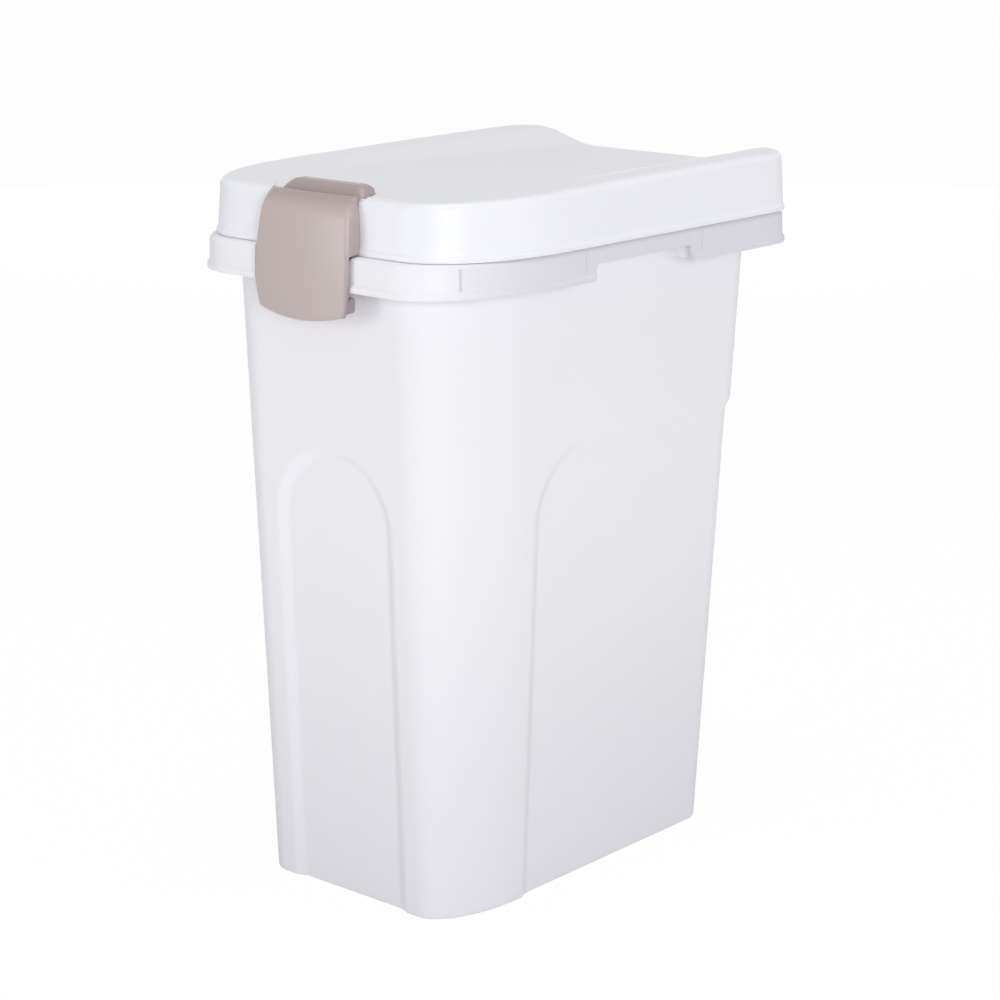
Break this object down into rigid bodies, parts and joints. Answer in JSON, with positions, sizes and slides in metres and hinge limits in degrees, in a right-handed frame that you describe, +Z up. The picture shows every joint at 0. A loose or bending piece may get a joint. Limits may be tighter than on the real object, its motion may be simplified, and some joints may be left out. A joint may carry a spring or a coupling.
{
  "type": "rice bin with flip lid",
  "caption": "tall tapered bin for rice or dry food, with a hollow carrying rim, a hinged lid whose top is dished towards the rear, and a clip that hooks under the rim",
  "frame": {"origin": "on the floor, under the middle of the bounding box", "axes": "+Z up, -Y towards the clip at the front, +Y towards the hinge, +X towards the right side as seen from the front"},
  "size_m": [0.2196, 0.3151, 0.4119],
  "materials": {
    "tub": "satin, milky and slightly see-through",
    "lid": "satin",
    "seal": "matte",
    "clip": "satin",
    "pin": "satin"
  },
  "bodies": {
    "tub": {"tub": "tub", "hinge_pin_left": "pin", "hinge_pin_right": "pin"},
    "lid": {"lid": "lid", "lid_seal": "seal", "clip_pin": "pin"},
    "clip": {"clip": "clip"}
  },
  "joints": [
    {"name": "lid_hinge", "type": "hinge", "parent": "tub", "child": "lid", "pos_m": [0, 0.1543, 0.3734], "axis": [-1, 0, 0], "range_deg": [0, 110]},
    {"name": "clip_hinge", "type": "hinge", "parent": "lid", "child": "clip", "pos_m": [0, -0.1295, 0.4035], "axis": [-1, 0, 0], "range_deg": [0, 100]}
  ]
}
